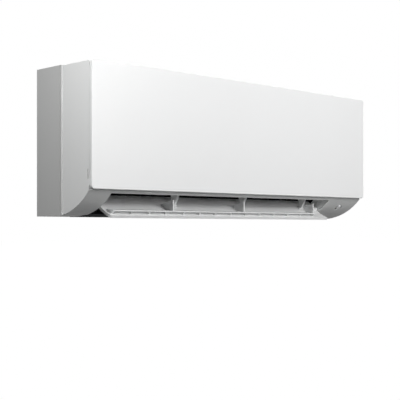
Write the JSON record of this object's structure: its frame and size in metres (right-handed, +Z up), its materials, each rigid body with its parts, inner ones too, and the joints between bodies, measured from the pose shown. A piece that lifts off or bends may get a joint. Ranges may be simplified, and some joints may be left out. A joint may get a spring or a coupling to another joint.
{
  "type": "mini split indoor unit",
  "caption": "Wall-mounted mini split indoor unit with a hinged flat front panel, a swinging air flap over a black duct, coupled vanes and a cross-flow fan.",
  "frame": {"origin": "middle of the wall plate's back face, on the wall", "axes": "+X along the unit to the right as seen from the room, +Y into the wall, +Z up; the front panel faces -Y"},
  "size_m": [0.89, 0.19, 0.3138],
  "materials": {
    "shell_white": "fine satin ABS moulding",
    "panel_white": "smooth satin-gloss ABS",
    "flap_white": "smooth satin ABS",
    "duct_black": "matte black polystyrene",
    "vane_black": "matte black polypropylene",
    "link_white": "natural acetal",
    "fan_black": "glass-filled matte black",
    "pan_grey": "satin grey moulding",
    "sheet_steel": "galvanised sheet",
    "motor_steel": "plated steel can",
    "shaft_steel": "ground steel",
    "fin_aluminium": "coated fins",
    "pipe_copper": "drawn copper",
    "nut_brass": "turned brass",
    "rubber": "matte black rubber",
    "board_green": "solder-masked board",
    "terminal_black": "matte black moulding",
    "filter_grey": "grey polypropylene frame and net",
    "bezel_grey": "satin grey moulding",
    "dome_white": "translucent white lens"
  },
  "bodies": {
    "root": {"front_casing": "shell_white", "rear_chassis": "shell_white", "top_grille": "shell_white", "flap_bracket_1": "shell_white", "flap_bracket_2": "shell_white", "flap_bracket_3": "shell_white", "air_duct": "duct_black", "drain_pan": "pan_grey", "motor_clamp": "pan_grey", "control_box": "pan_grey", "wall_plate": "sheet_steel", "coil_plate_left": "sheet_steel", "coil_plate_right": "sheet_steel", "control_box_cover": "sheet_steel", "fan_motor": "motor_steel", "flap_motor": "motor_steel", "vane_motor_left": "motor_steel", "vane_motor_right": "motor_steel", "coil_front_lower": "fin_aluminium", "coil_front_upper": "fin_aluminium", "coil_rear": "fin_aluminium", "gas_pipe": "pipe_copper", "liquid_pipe": "pipe_copper", "gas_nut": "nut_brass", "liquid_nut": "nut_brass", "fan_bearing": "rubber", "drain_plug": "rubber", "control_board": "board_green", "receiver_board": "board_green", "terminal_block": "terminal_black", "room_sensor": "terminal_black", "filter_left": "filter_grey", "filter_right": "filter_grey", "receiver_bezel": "bezel_grey", "receiver_dome": "dome_white"},
    "front_panel": {"front_panel": "panel_white"},
    "flap": {"flap_outer_skin": "flap_white", "flap_inner_skin": "flap_white", "flap_pin_1": "shaft_steel", "flap_pin_2": "shaft_steel", "flap_pin_3": "shaft_steel", "flap_shaft": "shaft_steel"},
    "fan": {"cross_flow_fan": "fan_black", "fan_end_shaft": "shaft_steel", "motor_shaft": "shaft_steel"},
    "vane_1": {"vane_1": "vane_black"},
    "vane_2": {"vane_2": "vane_black"},
    "vane_3": {"vane_3": "vane_black"},
    "vane_4": {"vane_4": "vane_black"},
    "vane_5": {"vane_5": "vane_black"},
    "vane_6": {"vane_6": "vane_black"},
    "vane_7": {"vane_7": "vane_black"},
    "vane_8": {"vane_8": "vane_black"},
    "vane_9": {"vane_9": "vane_black"},
    "vane_10": {"vane_10": "vane_black"},
    "crank_left": {"vane_crank_left": "link_white"},
    "rod_left": {"vane_rod_left": "link_white"},
    "crank_right": {"vane_crank_right": "link_white"},
    "rod_right": {"vane_rod_right": "link_white"},
    "button": {"auto_button": "shell_white"}
  },
  "joints": [
    {"name": "panel_hinge", "type": "hinge", "parent": "root", "child": "front_panel", "pos_m": [0, -0.176, 0.147], "axis": [-1, 0, 0], "range_deg": [0, 60]},
    {"name": "flap_swing", "type": "hinge", "parent": "root", "child": "flap", "pos_m": [0, -0.1312, -0.13072], "axis": [1, 0, 0], "range_deg": [-64, 12]},
    {"name": "fan_spin", "type": "hinge", "parent": "root", "child": "fan", "pos_m": [0, -0.09, -0.03], "axis": [1, 0, 0], "continuous": true},
    {"name": "vane_1_turn", "type": "hinge", "parent": "root", "child": "vane_1", "pos_m": [-0.35035, -0.078, -0.115], "axis": [0, 0, 1], "range_deg": [-35, 35]},
    {"name": "vane_2_turn", "type": "hinge", "parent": "root", "child": "vane_2", "pos_m": [-0.27943, -0.078, -0.115], "axis": [0, 0, 1], "range_deg": [-35, 35]},
    {"name": "vane_3_turn", "type": "hinge", "parent": "root", "child": "vane_3", "pos_m": [-0.20852, -0.078, -0.115], "axis": [0, 0, 1], "range_deg": [-35, 35]},
    {"name": "vane_4_turn", "type": "hinge", "parent": "root", "child": "vane_4", "pos_m": [-0.13761, -0.078, -0.115], "axis": [0, 0, 1], "range_deg": [-35, 35]},
    {"name": "vane_5_turn", "type": "hinge", "parent": "root", "child": "vane_5", "pos_m": [-0.06671, -0.078, -0.115], "axis": [0, 0, 1], "range_deg": [-35, 35]},
    {"name": "crank_left_turn", "type": "hinge", "parent": "root", "child": "crank_left", "pos_m": [-0.4038, -0.078, -0.125], "axis": [0, 0, 1], "range_deg": [-35, 35]},
    {"name": "rod_left_turn", "type": "hinge", "parent": "vane_1", "child": "rod_left", "pos_m": [-0.35035, -0.066, -0.119], "axis": [0, 0, 1], "range_deg": [-35, 35]},
    {"name": "vane_6_turn", "type": "hinge", "parent": "root", "child": "vane_6", "pos_m": [0.00421, -0.078, -0.115], "axis": [0, 0, 1], "range_deg": [-35, 35]},
    {"name": "vane_7_turn", "type": "hinge", "parent": "root", "child": "vane_7", "pos_m": [0.07512, -0.078, -0.115], "axis": [0, 0, 1], "range_deg": [-35, 35]},
    {"name": "vane_8_turn", "type": "hinge", "parent": "root", "child": "vane_8", "pos_m": [0.14602, -0.078, -0.115], "axis": [0, 0, 1], "range_deg": [-35, 35]},
    {"name": "vane_9_turn", "type": "hinge", "parent": "root", "child": "vane_9", "pos_m": [0.21693, -0.078, -0.115], "axis": [0, 0, 1], "range_deg": [-35, 35]},
    {"name": "vane_10_turn", "type": "hinge", "parent": "root", "child": "vane_10", "pos_m": [0.28785, -0.078, -0.115], "axis": [0, 0, 1], "range_deg": [-35, 35]},
    {"name": "crank_right_turn", "type": "hinge", "parent": "root", "child": "crank_right", "pos_m": [0.3413, -0.078, -0.125], "axis": [0, 0, 1], "range_deg": [-35, 35]},
    {"name": "rod_right_turn", "type": "hinge", "parent": "vane_6", "child": "rod_right", "pos_m": [0.00421, -0.066, -0.119], "axis": [0, 0, 1], "range_deg": [-35, 35]},
    {"name": "auto_button_press", "type": "slide", "parent": "root", "child": "button", "axis": [0, 1, 0], "range_m": [0, 0.0015], "stiffness_N_per_m": 400}
  ],
  "couplings": [
    {"joint": "vane_2_turn", "follows": "vane_1_turn", "ratio": 1},
    {"joint": "vane_3_turn", "follows": "vane_1_turn", "ratio": 1},
    {"joint": "vane_4_turn", "follows": "vane_1_turn", "ratio": 1},
    {"joint": "vane_5_turn", "follows": "vane_1_turn", "ratio": 1},
    {"joint": "crank_left_turn", "follows": "vane_1_turn", "ratio": 1},
    {"joint": "rod_left_turn", "follows": "vane_1_turn", "ratio": -1},
    {"joint": "vane_7_turn", "follows": "vane_6_turn", "ratio": 1},
    {"joint": "vane_8_turn", "follows": "vane_6_turn", "ratio": 1},
    {"joint": "vane_9_turn", "follows": "vane_6_turn", "ratio": 1},
    {"joint": "vane_10_turn", "follows": "vane_6_turn", "ratio": 1},
    {"joint": "crank_right_turn", "follows": "vane_6_turn", "ratio": 1},
    {"joint": "rod_right_turn", "follows": "vane_6_turn", "ratio": -1}
  ]
}
